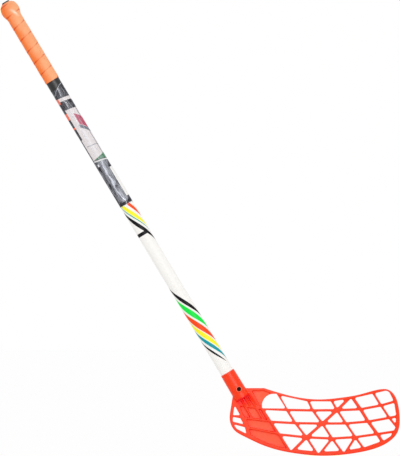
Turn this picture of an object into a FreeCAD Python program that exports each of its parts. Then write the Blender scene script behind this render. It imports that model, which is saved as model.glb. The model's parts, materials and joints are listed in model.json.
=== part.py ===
import FreeCAD
import Part
import Sketcher
import math
import os
from FreeCAD import Placement, Rotation, Vector

# Driving dimensions of the stick, in millimetres and degrees.
driving_sizes = {
    # Playing position: the shaft leans with its knob away from the blade's toe.
    "lean_angle": 30.94,
    "grip_mount_drop": 84.0,
    # Shaft: a thin tube with one screw hole near its lower end.
    "shaft_diameter": 22.0,
    "shaft_wall": 1.6,
    "shaft_length": 739.0,
    # End cap: a plug in the bore with a flared bulb over the tube's end.
    "plug_length": 28.0,
    "plug_clearance": 0.05,
    "cap_head_height": 6.7,
    "cap_face_diameter": 12.8,
    "bulb_clearance": 0.2,
    # Grip tape: over the bulb, then wound down the shaft.
    "wrap_clearance": 0.05,
    "grip_tape_thickness": 0.9,
    "knob_diameter": 30.4,
    "knob_rim_rise": 4.8,
    "knob_drop": 24.2,
    "grip_length": 117.8,
    "grip_pitch": 21.0,
    "grip_seam": 0.7,
    "grip_seam_drop": 8.3,
    # Finish tape under the grip.
    "finish_tape_thickness": 0.35,
    "finish_tape_width": 16.0,
    # Display card rolled round the shaft, with its slit at the back.
    "card_thickness": 0.3,
    "card_length": 217.0,
    "card_slit": 2.0,
    # Clear film over the card, cut on a slant at its upper end.
    "film_thickness": 0.2,
    "film_lap": 6.0,
    "film_slant": 16.5,
    "film_overhang": 1.5,
    # Sticker on the right of the film.
    "label_thickness": 0.15,
    "label_length": 54.0,
    "label_rise": 13.0,
    "label_turn": 39.0,
    "label_sweep": 86.0,
    # Blade: overall size, hook and depths.
    "blade_length": 275.0,
    "blade_height": 109.4,
    "blade_hook": 22.0,
    "rim_depth": 8.0,
    "rib_depth": 6.0,
    "web_depth": 2.4,
    "rim_rounding": 1.2,
    # Widths of the rim and of the ribs, seen from the front.
    "top_rim_width": 4.0,
    "toe_rim_width": 5.5,
    "sole_rim_width": 6.3,
    "long_rib_width": 3.9,
    "slant_rib_width": 3.7,
    "broad_rib_width": 5.2,
    "truss_rib_width": 4.7,
    "window_rounding": 2.0,
    "toe_window_rounding": 11.0,
    "heel_window_rounding": 1.2,
    "arch_window_rounding": 19.0,
    # Neck: the socket that the shaft's end goes into.
    "neck_top_diameter": 24.0,
    "neck_diameter": 25.4,
    "socket_depth": 46.0,
    "socket_floor": 2.5,
    "socket_clearance": 0.05,
    # Gussets that run from the end of the neck down to the first cross rib of the heel.
    "gusset_length": 23.0,
    "gusset_rise": 9.4,
    # Screw and its boss. The screw faces a little towards the blade's side of the neck.
    "screw_spin": 10.7,
    "screw_rise": 13.4,
    "screw_diameter": 4.0,
    "screw_length": 10.0,
    "screw_tip_length": 3.0,
    "screw_head_diameter": 7.0,
    "screw_head_height": 1.4,
    "screw_head_bevel": 0.4,
    "screw_clearance": 0.05,
    "recess_width": 1.1,
    "recess_span": 4.2,
    "recess_depth": 0.9,
    "boss_diameter": 9.7,
    "boss_rise": 1.0,
    "seat_wall": 0.85,
    # How far a cutting shape runs past what it cuts.
    "overrun": 5.0,
}

# Profile of the tape over the bulb: place along the knob, and radius as a share of the knob's.
knob_profile_shares = [
    (0.0, 0.493), (0.048, 0.612), (0.103, 0.757), (0.162, 0.855), (0.272, 0.934), (0.483, 1.0),
    (0.717, 0.934), (0.831, 0.855), (0.924, 0.803),
]
# The bulb's skirt ends at this place along the knob.
skirt_place_share = 0.831

# Plan of the blade: where its flat heel ends and its hook begins.
hook_start_share = 0.35
# Foot of the shaft's axis in the blade's box.
foot_shares = (0.073, 0.872)
# Blade outline, from the neck over the top edge and the toe, back along the sole and up the heel.
brow_shares = [(0.078, 1.0), (0.205, 1.0)]
outline_shares = [
    (0.205, 1.0), (0.297, 0.927), (0.414, 0.858), (0.532, 0.833), (0.65, 0.858), (0.768, 0.91),
    (0.886, 0.987), (0.93, 0.984), (0.967, 0.91), (0.993, 0.726), (1.0, 0.541), (0.986, 0.351),
    (0.945, 0.23), (0.886, 0.142), (0.768, 0.055), (0.65, 0.012), (0.532, 0.0), (0.414, 0.025),
    (0.296, 0.077), (0.179, 0.173), (0.09, 0.28), (0.025, 0.388), (0.001, 0.548), (0.008, 0.704),
    (0.017, 0.852), (0.022, 0.926),
]
# Crossings of the lattice: rows top, upper, middle, lower and sole, with columns numbered from the heel.
crossing_shares = {
    "top1": (0.279, 0.939), "top2": (0.458, 0.841), "top3": (0.596, 0.84), "top4": (0.717, 0.884),
    "top5": (0.839, 0.956), "top6": (0.946, 1.022),
    "upper0": (0.193, 0.695), "upper1": (0.338, 0.677), "upper2": (0.49, 0.67), "upper3": (0.633, 0.674),
    "upper4": (0.771, 0.69), "upper5": (0.89, 0.748), "upper6": (0.986, 0.818),
    "middle0": (0.243, 0.501), "middle1": (0.388, 0.481), "middle2": (0.547, 0.476),
    "middle3": (0.685, 0.479), "middle4": (0.815, 0.508), "middle5": (0.939, 0.566),
    "middle6": (0.999, 0.597),
    "lower0": (0.293, 0.314), "lower1": (0.453, 0.271), "lower2": (0.604, 0.255), "lower3": (0.74, 0.277),
    "lower4": (0.869, 0.324), "lower5": (0.992, 0.4), "lower6": (0.986, 0.372),
    "sole0": (0.362, 0.043), "sole1": (0.523, 0.001), "sole2": (0.674, 0.018), "sole3": (0.8, 0.073),
    "sole4": (0.909, 0.173), "sole5": (0.961, 0.259),
}
# Each window of the lattice, by the crossings at its corners.
windows = [
    "top1 top2 upper2 upper1", "top2 top3 upper3 upper2", "top3 top4 upper3", "top4 upper4 upper3",
    "top4 top5 upper5 upper4", "top5 top6 upper6 upper5",
    "upper0 upper1 middle1 middle0", "upper1 upper2 middle2 middle1", "upper2 upper3 middle2",
    "upper3 middle3 middle2", "upper3 upper4 middle4 middle3", "upper4 upper5 middle5 middle4",
    "upper5 upper6 middle6 middle5",
    "middle0 middle1 lower1 lower0", "middle1 middle2 lower1", "middle2 lower2 lower1",
    "middle2 middle3 lower3 lower2", "middle3 middle4 lower4 lower3", "middle4 middle5 lower5 lower6 lower4",
    "middle5 middle6 lower5",
    "lower0 lower1 sole0", "lower1 sole1 sole0", "lower1 lower2 sole1", "lower2 sole2 sole1",
    "lower2 lower3 sole2", "lower3 sole3 sole2", "lower3 lower4 sole4 sole3", "lower4 lower6 sole5 sole4",
]
# Crossings that lie on the toe's and the sole's outer edge.
toe_crossings = ("top6", "upper6", "middle6", "lower5", "lower6", "sole5", "sole4")
# The corner that rounds off with the toe.
toe_corner = "top6"
# The long brace that runs from the sole up to the top edge.
brace = ("sole0", "lower1", "middle2", "upper3", "top4")
# The column with a broader rib.
broad_column = "4"
# Window with an arched corner between the neck and the lattice: the arched corner comes first.
arch_window_shares = [(0.19, 0.916), (0.277, 0.916), (0.332, 0.698), (0.192, 0.701)]
# Three small windows behind the heel's edge.
heel_window_shares = [
    [(0.03, 0.744), (0.062, 0.6), (0.021, 0.599)],
    [(0.02, 0.573), (0.064, 0.553), (0.083, 0.464), (0.02, 0.505)],
    [(0.024, 0.464), (0.09, 0.421), (0.1, 0.323), (0.043, 0.397)],
]
# Hollows of the heel panel, which leave a thin web. The first two lie beside and below the neck.
pocket_shares = [
    [(0.131, 0.963), (0.202, 0.967), (0.24, 0.926), (0.25, 0.887), (0.207, 0.807), (0.196, 0.739), (0.178, 0.738)],
    [(0.044, 0.84), (0.117, 0.924), (0.168, 0.729), (0.057, 0.776)],
    [(0.058, 0.735), (0.085, 0.729), (0.126, 0.562), (0.088, 0.572)],
    [(0.1, 0.718), (0.153, 0.7), (0.193, 0.537), (0.137, 0.556)],
    [(0.169, 0.691), (0.186, 0.685), (0.224, 0.527), (0.206, 0.532)],
    [(0.098, 0.54), (0.237, 0.502), (0.275, 0.345), (0.117, 0.419)],
    [(0.115, 0.399), (0.286, 0.315), (0.34, 0.103), (0.274, 0.142), (0.22, 0.187), (0.167, 0.248), (0.124, 0.31)],
]
# Gussets: left and right side as shares of the neck's radius, and length as a share of the longest.
gusset_shares = [(-0.34, -0.1, 0.61), (0.2, 0.48, 0.76), (0.72, 0.97, 1.0)]
# How much of a side a rounded corner may take.
corner_side_share = 0.32
arch_side_share = 0.82

doc = FreeCAD.newDocument("floorball_stick")
sheet = doc.addObject("Spreadsheet::Sheet", "sizes")
for row, (alias, value) in enumerate(driving_sizes.items(), start=1):
    sheet.set(f"A{row}", alias)
    sheet.set(f"B{row}", str(value))
    sheet.setAlias(f"B{row}", alias)
doc.recompute()


def size(alias):
    return float(sheet.get(alias))


def worked_out(expression):
    return float(sheet.evalExpression(expression))


# Places on the shaft

lean = Rotation(Vector(0, 1, 0), -size("lean_angle"))
shaft_axis = lean.multVec(Vector(0, 0, 1))


def on_shaft(drop):
    return Placement(shaft_axis * (size("grip_mount_drop") - drop), lean)


# Sketches and features that several bodies share

def origin_plane(body, role):
    return next(feature for feature in body.Origin.OriginFeatures if feature.Role == role)


def new_sketch(body, name, role):
    sketch = body.newObject("Sketcher::SketchObject", name)
    sketch.AttachmentSupport = [(origin_plane(body, role), "")]
    sketch.MapMode = "FlatFace"
    return sketch


def add_circle(sketch, name, diameter):
    start = worked_out(diameter)
    circle = sketch.addGeometry(Part.Circle(Vector(), Vector(0, 0, 1), start / 2))
    sketch.addConstraint(Sketcher.Constraint("Coincident", circle, 3, -1, 1))
    constraint = sketch.addConstraint(Sketcher.Constraint("Diameter", circle, start))
    sketch.renameConstraint(constraint, name)
    sketch.setExpression("Constraints." + name, diameter)


def bind_distance(sketch, kind, geometry, point, name, expression):
    value = worked_out(expression)
    constraint = sketch.addConstraint(Sketcher.Constraint(kind, -1, 1, geometry, point, value))
    sketch.renameConstraint(constraint, name)
    sketch.setExpression("Constraints." + name, expression)


# A closed outline whose corners are pairs of expressions; a zero lies on the sketch's own axis.
def add_outline(sketch, corners):
    places = [Vector(worked_out(across), worked_out(up), 0) for across, up in corners]
    lines = []
    for start, end in zip(places, places[1:] + places[:1]):
        lines.append(sketch.addGeometry(Part.LineSegment(start, end)))
    for line, following in zip(lines, lines[1:] + lines[:1]):
        sketch.addConstraint(Sketcher.Constraint("Coincident", line, 2, following, 1))
    for number, (line, (across, up)) in enumerate(zip(lines, corners)):
        if across == "0":
            sketch.addConstraint(Sketcher.Constraint("PointOnObject", line, 1, -2))
        else:
            bind_distance(sketch, "DistanceX", line, 1, f"across{number}", across)
        if up == "0":
            sketch.addConstraint(Sketcher.Constraint("PointOnObject", line, 1, -1))
        else:
            bind_distance(sketch, "DistanceY", line, 1, f"up{number}", up)


def tube_body(label, outer, inner, length, bottom_drop):
    body = doc.addObject("PartDesign::Body", label)
    section = new_sketch(body, label + "_section", "XY_Plane")
    add_circle(section, "outer", outer)
    add_circle(section, "inner", inner)
    pad = body.newObject("PartDesign::Pad", label + "_length")
    pad.Profile = section
    pad.setExpression("Length", length)
    body.Placement = on_shaft(worked_out(bottom_drop))
    doc.recompute()
    return body


def turned_body(label, corners):
    body = doc.addObject("PartDesign::Body", label)
    profile = new_sketch(body, label + "_profile", "XZ_Plane")
    add_outline(profile, corners)
    turning = body.newObject("PartDesign::Revolution", label + "_turning")
    turning.Profile = profile
    turning.ReferenceAxis = (profile, ["V_Axis"])
    turning.Angle = 360
    doc.recompute()
    return body


# Shaft

shaft = tube_body(
    "shaft_tube", "sizes.shaft_diameter", "sizes.shaft_diameter - 2 * sizes.shaft_wall",
    "sizes.shaft_length", "sizes.shaft_length",
)
plain_tube_volume = shaft.Shape.Volume
hole = new_sketch(shaft, "shaft_hole", "XZ_Plane")
hole_centre = Vector(0, size("screw_rise"), 0)
hole_circle = hole.addGeometry(Part.Circle(hole_centre, Vector(0, 0, 1), size("screw_diameter") / 2))
hole.addConstraint(Sketcher.Constraint("PointOnObject", hole_circle, 3, -2))
bind_distance(hole, "DistanceY", hole_circle, 3, "rise", "sizes.screw_rise")
hole_width = hole.addConstraint(Sketcher.Constraint("Diameter", hole_circle, size("screw_diameter")))
hole.renameConstraint(hole_width, "width")
hole.setExpression("Constraints.width", "sizes.screw_diameter + 2 * sizes.screw_clearance")
hole_pocket = shaft.newObject("PartDesign::Pocket", "shaft_hole_pocket")
hole_pocket.Profile = hole
hole_pocket.Type = "ThroughAll"
hole_pocket.Reversed = True
# The whole tube turns on its axis to bring its hole round to the screw.
screw_spin = Rotation(Vector(0, 0, 1), size("screw_spin"))
shaft.Placement = shaft.Placement.multiply(Placement(Vector(), screw_spin))
doc.recompute()
print("screw hole takes", round(plain_tube_volume - shaft.Shape.Volume, 2), "cubic mm of the near wall")

# End cap: a plug in the bore and a bulb round the tube's end, under the tape

butt = "sizes.plug_length"
plug_radius = "sizes.shaft_diameter / 2 - sizes.shaft_wall - sizes.plug_clearance"
skirt_radius = "sizes.shaft_diameter / 2 + sizes.plug_clearance"


def bulb_corner(place, radius):
    across = f"{radius} * sizes.knob_diameter / 2 - sizes.grip_tape_thickness - sizes.bulb_clearance"
    up = f"{butt} + sizes.knob_rim_rise - {place} * (sizes.knob_rim_rise + sizes.knob_drop)"
    return across, up


skirted = [(place, radius) for place, radius in knob_profile_shares if place <= skirt_place_share]
bulb_corners = [bulb_corner(place, radius) for place, radius in skirted]
cap_top = f"{butt} + sizes.cap_head_height"
cap = turned_body("end_cap", [
    ("0", "0"), (plug_radius, "0"), (plug_radius, butt), (skirt_radius, butt),
    (skirt_radius, bulb_corners[-1][1]), *reversed(bulb_corners),
    ("sizes.cap_face_diameter / 2", cap_top), ("0", cap_top),
])
cap.Placement = on_shaft(size("plug_length"))

# Grip tape: a skin over the bulb, then one ribbon wound down the shaft

inner_radius = size("shaft_diameter") / 2 + size("wrap_clearance")
outer_radius = inner_radius + size("grip_tape_thickness")
knob_span = size("knob_rim_rise") + size("knob_drop")


def knob_curve(cover):
    points = []
    for place, radius in knob_profile_shares:
        height = size("knob_rim_rise") - place * knob_span
        points.append(Vector(radius * size("knob_diameter") / 2 - cover, 0, height))
    points.append(Vector(outer_radius - cover, 0, -size("knob_drop")))
    curve = Part.BSplineCurve()
    curve.interpolate(Points=points)
    return curve.toShape()


def knob_skin():
    outside = knob_curve(0)
    inside = knob_curve(size("grip_tape_thickness"))
    ends = [
        Part.makeLine(outside.valueAt(outside.FirstParameter), inside.valueAt(inside.FirstParameter)),
        Part.makeLine(outside.valueAt(outside.LastParameter), inside.valueAt(inside.LastParameter)),
    ]
    wire = Part.Wire(Part.__sortEdges__([outside, inside, *ends]))
    return Part.Face(wire).revolve(Vector(), Vector(0, 0, 1), 360)


def grip_ribbon():
    bottom = Vector(0, 0, -size("knob_drop") - size("grip_length"))
    sleeve = Part.makeCylinder(outer_radius, size("grip_length"), bottom)
    sleeve = sleeve.cut(Part.makeCylinder(inner_radius, size("grip_length"), bottom))
    turns_below = math.ceil(size("grip_length") / size("grip_pitch"))
    start = -size("knob_drop") - size("grip_seam_drop") - turns_below * size("grip_pitch")
    middle_radius = (inner_radius + outer_radius) / 2
    helix = Part.makeHelix(size("grip_pitch"), (turns_below + 1) * size("grip_pitch"), middle_radius)
    helix.translate(Vector(0, 0, start))
    near = inner_radius - size("grip_tape_thickness")
    far = outer_radius + size("grip_tape_thickness")
    low = start - size("grip_seam") / 2
    high = start + size("grip_seam") / 2
    section = [Vector(near, 0, low), Vector(far, 0, low), Vector(far, 0, high), Vector(near, 0, high)]
    outline = Part.makePolygon(section + section[:1])
    seam = Part.Wire(helix.Edges).makePipeShell([outline], True, True)
    return sleeve.cut(seam)


def helix_point(turn, height):
    angle = 2 * math.pi * turn
    rise = height + turn * size("grip_pitch")
    return Vector(outer_radius * math.cos(angle), outer_radius * math.sin(angle), rise)


def least_seam_gap():
    steps = 720
    turns = [step / steps for step in range(-steps // 4, steps // 4)]
    above = [helix_point(turn, size("grip_seam")) for turn in turns]
    below = helix_point(0, 0)
    return min(below.distanceToPoint(point) for point in above)


grip = doc.addObject("Part::Feature", "grip_tape")
grip.Shape = knob_skin().fuse(grip_ribbon()).removeSplitter()
grip.Placement = on_shaft(0)
print("least gap between the tape's turns:", round(least_seam_gap(), 3), "mm")

# Finish tape, display card, film and label

wrap_inner = "sizes.shaft_diameter + 2 * sizes.wrap_clearance"
finish_bottom = "(sizes.knob_drop + sizes.grip_length + sizes.wrap_clearance + sizes.finish_tape_width)"
finish = tube_body(
    "finish_tape", f"{wrap_inner} + 2 * sizes.finish_tape_thickness", wrap_inner,
    "sizes.finish_tape_width", finish_bottom,
)
card_bottom = f"({finish_bottom} + sizes.wrap_clearance + sizes.card_length)"
card = tube_body(
    "display_card", f"{wrap_inner} + 2 * sizes.card_thickness", wrap_inner,
    "sizes.card_length", card_bottom,
)
whole_card_volume = card.Shape.Volume
slit = new_sketch(card, "card_slit", "YZ_Plane")
back = "sizes.shaft_diameter / 2 + sizes.overrun"
slit_top = "sizes.card_length + sizes.overrun"
add_outline(slit, [("0", "0"), (back, "0"), (back, slit_top), ("0", slit_top)])
slit_pocket = card.newObject("PartDesign::Pocket", "card_slit_pocket")
slit_pocket.Profile = slit
slit_pocket.Midplane = True
slit_pocket.setExpression("Length", "sizes.card_slit")
doc.recompute()
print("card slit takes", round(whole_card_volume - card.Shape.Volume, 2), "cubic mm")

thicker_wrap = "max(sizes.card_thickness; sizes.finish_tape_thickness)"
film_inner = f"({wrap_inner} + 2 * {thicker_wrap} + 2 * sizes.wrap_clearance)"
film_outer = f"({film_inner} + 2 * sizes.film_thickness)"
film_length = "(sizes.film_lap + sizes.card_length + sizes.film_overhang)"
film = tube_body("clear_film", film_outer, film_inner, film_length, f"{card_bottom} + sizes.film_overhang")
whole_film_volume = film.Shape.Volume
slant = new_sketch(film, "film_slant", "XZ_Plane")
slant.setExpression("AttachmentOffset.Base.x", f"-{film_outer} / 2 - sizes.overrun")
slant.setExpression("AttachmentOffset.Base.y", f"{film_length} - sizes.film_slant")
far_side = f"sizes.overrun + {film_outer}"
above = "sizes.film_slant + sizes.overrun"
add_outline(slant, [
    ("0", "0"), ("sizes.overrun", "0"), (far_side, "sizes.film_slant"), (far_side, above), ("0", above),
])
slant_pocket = film.newObject("PartDesign::Pocket", "film_slant_pocket")
slant_pocket.Profile = slant
slant_pocket.Midplane = True
slant_pocket.setExpression("Length", f"{film_outer} + sizes.overrun")
doc.recompute()
print("film slant takes", round(whole_film_volume - film.Shape.Volume, 2), "cubic mm")

label_inner = f"{film_outer} / 2 + sizes.wrap_clearance"
label_sector = doc.addObject("Part::Cylinder", "label_sector")
label_sector.setExpression("Radius", f"{label_inner} + sizes.label_thickness")
label_sector.setExpression("Height", "sizes.label_length")
label_sector.setExpression("Angle", "sizes.label_sweep")
label_core = doc.addObject("Part::Cylinder", "label_core")
label_core.setExpression("Radius", label_inner)
label_core.setExpression("Height", "sizes.label_length")
label = doc.addObject("Part::Cut", "blank_label")
label.Base = label_sector
label.Tool = label_core
# The sector starts beside the front of the shaft and turns towards the blade's side.
label_start = Placement(Vector(), Rotation(Vector(0, 0, 1), size("label_turn") - 90))
label_drop = worked_out(f"{card_bottom} + sizes.film_overhang - sizes.label_rise")
label.Placement = on_shaft(label_drop).multiply(label_start)
doc.recompute()

# Blade: flat shapes in its own plane, x along the blade and z up from the sole

foot = Vector(foot_shares[0] * size("blade_length"), 0, foot_shares[1] * size("blade_height"))
side_reach = size("blade_hook") + size("rim_depth") + size("overrun")


def in_blade(shares):
    return Vector(shares[0] * size("blade_length"), 0, shares[1] * size("blade_height"))


def prism(face):
    start = face.translated(Vector(0, -side_reach, 0))
    return start.extrude(Vector(0, 2 * side_reach, 0))


def line_crossing(first_point, first_way, second_point, second_way):
    gap = second_point - first_point
    spread = first_way.x * second_way.z - first_way.z * second_way.x
    travel = (gap.x * second_way.z - gap.z * second_way.x) / spread
    return first_point + first_way * travel


# Moves each side of an outline inwards by its own distance.
def inset_outline(points, distances):
    sides = list(zip(points, points[1:] + points[:1]))
    area = sum(start.x * end.z - end.x * start.z for start, end in sides)
    inwards = Vector(0, math.copysign(1, area), 0)
    lines = []
    for (start, end), distance in zip(sides, distances):
        way = (end - start).normalize()
        lines.append((start + way.cross(inwards) * distance, way))
    return [line_crossing(*lines[number - 1], *lines[number]) for number in range(len(lines))]


def rounded_face(points, radii, side_share):
    befores = points[-1:] + points[:-1]
    afters = points[1:] + points[:1]
    corners = []
    for before, corner, after, radius in zip(befores, points, afters, radii):
        back = before - corner
        ahead = after - corner
        half_turn = back.getAngle(ahead) / 2
        longest_reach = side_share * min(back.Length, ahead.Length)
        reach = min(radius / math.tan(half_turn), longest_reach)
        back.normalize()
        ahead.normalize()
        corner_radius = reach * math.tan(half_turn)
        bisector = (back + ahead).normalize()
        middle = corner + bisector * (corner_radius / math.sin(half_turn) - corner_radius)
        corners.append((corner + back * reach, middle, corner + ahead * reach))
    edges = []
    for (start, middle, end), following in zip(corners, corners[1:] + corners[:1]):
        edges.append(Part.Arc(start, middle, end).toShape())
        edges.append(Part.makeLine(end, following[0]))
    return Part.Face(Part.Wire(edges))


# A slab that is flat at the heel and follows the hook's arc towards the toe.
def hooked_slab(depth):
    half = depth / 2
    bend = hook_start_share * size("blade_length")
    span = size("blade_length") - bend
    radius = (span ** 2 + size("blade_hook") ** 2) / (2 * size("blade_hook"))
    sweep = math.asin((span + size("overrun")) / (radius - size("rim_depth")))

    def edge_points(offset):
        arc = []
        for angle in (sweep / 2, sweep):
            across = bend + (radius + offset) * math.sin(angle)
            arc.append(Vector(across, (radius + offset) * math.cos(angle) - radius, 0))
        return Vector(-size("overrun"), offset, 0), Vector(bend, offset, 0), *arc

    back = edge_points(half)
    front = edge_points(-half)
    edges = [
        Part.makeLine(back[0], back[1]), Part.Arc(back[1], back[2], back[3]).toShape(),
        Part.makeLine(back[3], front[3]), Part.Arc(front[3], front[2], front[1]).toShape(),
        Part.makeLine(front[1], front[0]), Part.makeLine(front[0], back[0]),
    ]
    plan = Part.Face(Part.Wire(edges)).translated(Vector(0, 0, -size("overrun")))
    return plan.extrude(Vector(0, 0, size("blade_height") + 2 * size("overrun")))


def blade_outline():
    curve = Part.BSplineCurve()
    curve.interpolate(Points=[in_blade(shares) for shares in outline_shares])
    brow = [in_blade(shares) for shares in brow_shares]
    heel = in_blade(outline_shares[-1])
    edges = [Part.makeLine(brow[0], brow[1]), curve.toShape(), Part.makeLine(heel, brow[0])]
    return Part.Face(Part.Wire(edges))


# A rib's width lies half on each side of its middle line, and the rim's whole width inside its outer edge.
def side_inset(first, second):
    rows = first.rstrip("0123456789"), second.rstrip("0123456789")
    if first in toe_crossings and second in toe_crossings:
        return size("toe_rim_width")
    if rows == ("top", "top"):
        return size("top_rim_width")
    if rows == ("sole", "sole"):
        return size("sole_rim_width")
    if first in brace and second in brace:
        return size("truss_rib_width") / 2
    if rows[0] == rows[1]:
        return size("long_rib_width") / 2
    if first[-1] == second[-1] == broad_column:
        return size("broad_rib_width") / 2
    return size("slant_rib_width") / 2


def lattice_windows():
    faces = []
    for window in windows:
        names = window.split()
        corners = [in_blade(crossing_shares[name]) for name in names]
        insets = [side_inset(first, second) for first, second in zip(names, names[1:] + names[:1])]
        radii = [size("window_rounding")] * len(names)
        if toe_corner in names:
            radii[names.index(toe_corner)] = size("toe_window_rounding")
        faces.append(rounded_face(inset_outline(corners, insets), radii, corner_side_share))
    arch = [in_blade(shares) for shares in arch_window_shares]
    arch_radii = [size("arch_window_rounding")] + [size("window_rounding")] * (len(arch) - 1)
    faces.append(rounded_face(arch, arch_radii, arch_side_share))
    for shares in heel_window_shares:
        corners = [in_blade(corner) for corner in shares]
        radii = [size("heel_window_rounding")] * len(corners)
        faces.append(rounded_face(corners, radii, corner_side_share))
    return faces


def panel_pockets():
    faces = []
    for shares in pocket_shares:
        corners = [in_blade(corner) for corner in shares]
        radii = [size("heel_window_rounding")] * len(corners)
        faces.append(rounded_face(corners, radii, corner_side_share))
    return faces


# The lattice inside the rim is a little thinner than the rim.
def lattice_field():
    names = ["top1", "top2", "top3", "top4", "top5", "top6", "upper6", "middle6", "lower6", "sole5", "sole4",
             "sole3", "sole2", "sole1", "sole0"]
    corners = [in_blade(crossing_shares[name]) for name in names]
    insets = [side_inset(first, second) for first, second in zip(names, names[1:])] + [0]
    radii = [size("window_rounding")] * len(names)
    return rounded_face(inset_outline(corners, insets), radii, corner_side_share)


def blade_plate():
    plate = prism(blade_outline()).common(hooked_slab(size("rim_depth")))
    rim_edges = [edge for edge in plate.Edges if edge.BoundBox.XLength > size("rim_rounding")]
    plate = plate.makeFillet(size("rim_rounding"), rim_edges)
    deep = hooked_slab(size("rim_depth") + size("overrun"))
    field = prism(lattice_field()).common(deep.cut(hooked_slab(size("rib_depth"))))
    pockets = [prism(face).common(deep.cut(hooked_slab(size("web_depth")))) for face in panel_pockets()]
    openings = [prism(face) for face in lattice_windows()]
    return plate.cut(field).cut(Part.makeCompound(pockets)).cut(Part.makeCompound(openings))


def blade_gussets():
    neck_radius = size("neck_diameter") / 2
    # The taper starts under the neck's lip and runs down to the face of the ribs.
    high = size("gusset_rise")
    low = size("rim_depth") / 2
    gussets = []
    for left, right, length_share in gusset_shares:
        length = length_share * size("gusset_length") + size("socket_floor")
        profile = [Vector(0, -low, -length), Vector(0, low, -length), Vector(0, high, 0), Vector(0, -high, 0)]
        barrel = Part.makeCylinder(neck_radius, length, Vector(0, 0, -length))
        face = Part.Face(Part.makePolygon(profile + profile[:1]))
        face.translate(Vector(left * neck_radius, 0, 0))
        gussets.append(face.extrude(Vector((right - left) * neck_radius, 0, 0)).common(barrel))
    shape = Part.makeCompound(gussets)
    shape.Placement = Placement(foot, lean)
    return shape


# Blade: plate, neck, boss and gussets joined, then bored for the shaft and the screw

def add_feature(name, shape):
    feature = doc.addObject("Part::Feature", name)
    feature.Shape = shape
    return feature


def add_cylinder(name, radius, height, place):
    cylinder = doc.addObject("Part::Cylinder", name)
    cylinder.setExpression("Radius", radius)
    cylinder.setExpression("Height", height)
    cylinder.Placement = place
    return cylinder


plate = add_feature("blade_plate", blade_plate())
gussets = add_feature("blade_gussets", blade_gussets())
neck_base = foot - shaft_axis * size("socket_floor")
neck = doc.addObject("Part::Cone", "blade_neck")
neck.setExpression("Radius1", "sizes.neck_diameter / 2")
neck.setExpression("Radius2", "sizes.neck_top_diameter / 2")
neck.setExpression("Height", "sizes.socket_depth + sizes.socket_floor")
neck.Placement = Placement(neck_base, lean)
screw_turn = lean.multiply(screw_spin).multiply(Rotation(Vector(1, 0, 0), 90))
screw_way = screw_turn.multVec(Vector(0, 0, 1))
screw_root = foot + shaft_axis * size("screw_rise")
boss = add_cylinder("blade_boss", "sizes.boss_diameter / 2", "sizes.neck_diameter / 2 + sizes.boss_rise",
                    Placement(screw_root, screw_turn))
blade_blank = doc.addObject("Part::MultiFuse", "blade_blank")
blade_blank.Shapes = [plate, gussets, neck, boss]

socket = add_cylinder("blade_socket", "sizes.shaft_diameter / 2 + sizes.socket_clearance",
                      "sizes.socket_depth + sizes.socket_clearance + sizes.overrun",
                      Placement(foot - shaft_axis * size("socket_clearance"), lean))
seat = worked_out("sizes.shaft_diameter / 2 + sizes.socket_clearance + sizes.seat_wall")
counterbore = add_cylinder("blade_counterbore", "sizes.screw_head_diameter / 2 + sizes.screw_clearance",
                           "sizes.neck_diameter / 2 + sizes.boss_rise",
                           Placement(screw_root + screw_way * seat, screw_turn))
screw_bore = add_cylinder("blade_screw_bore", "sizes.screw_diameter / 2 + sizes.screw_clearance",
                          "sizes.neck_diameter / 2 + sizes.boss_rise", Placement(screw_root, screw_turn))
blade_bores = doc.addObject("Part::MultiFuse", "blade_bores")
blade_bores.Shapes = [socket, counterbore, screw_bore]
blade = doc.addObject("Part::Cut", "blade")
blade.Base = blade_blank
blade.Tool = blade_bores
shaft_foot = shaft_axis * (size("grip_mount_drop") - size("shaft_length"))
blade.Placement = Placement(shaft_foot - foot, Rotation())
doc.recompute()

# Blade screw, modelled with its tip at the bottom

head_radius = "sizes.screw_head_diameter / 2"
shank_radius = "sizes.screw_diameter / 2"
head_top = "sizes.screw_length + sizes.screw_head_height"
screw = turned_body("blade_screw", [
    ("0", "0"), (shank_radius, "sizes.screw_tip_length"), (shank_radius, "sizes.screw_length"),
    (head_radius, "sizes.screw_length"), (head_radius, f"{head_top} - sizes.screw_head_bevel"),
    (f"{head_radius} - sizes.screw_head_bevel", head_top), ("0", head_top),
])
blind_screw_volume = screw.Shape.Volume
recess = new_sketch(screw, "screw_recess", "XY_Plane")
recess.setExpression("AttachmentOffset.Base.x", "-sizes.recess_span / 2")
recess.setExpression("AttachmentOffset.Base.y", "-sizes.recess_span / 2")
recess.setExpression("AttachmentOffset.Base.z", head_top)
first = "(sizes.recess_span - sizes.recess_width) / 2"
second = "(sizes.recess_span + sizes.recess_width) / 2"
whole = "sizes.recess_span"
add_outline(recess, [
    (first, "0"), (second, "0"), (second, first), (whole, first), (whole, second), (second, second),
    (second, whole), (first, whole), (first, second), ("0", second), ("0", first), (first, first),
])
recess_pocket = screw.newObject("PartDesign::Pocket", "screw_recess_pocket")
recess_pocket.Profile = recess
recess_pocket.setExpression("Length", "sizes.recess_depth")
screw_tip = shaft_foot + shaft_axis * size("screw_rise") + screw_way * (seat - size("screw_length"))
screw.Placement = Placement(screw_tip, screw_turn)
doc.recompute()
print("driving recess takes", round(blind_screw_volume - screw.Shape.Volume, 2), "cubic mm of the head")

# Every object sound, then one file for each piece

pieces = [shaft, cap, grip, finish, card, film, label, blade, screw]
for item in doc.Objects:
    if "Invalid" in item.State or "Error" in item.State:
        raise RuntimeError(f"{item.Name} did not come out: {item.State}")
for piece in pieces:
    if piece.Shape.isNull() or not piece.Shape.isValid():
        raise RuntimeError(f"{piece.Label} has no sound shape")
    print(piece.Label, len(piece.Shape.Solids), "solid,", round(piece.Shape.Volume, 1), "cubic mm")

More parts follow.
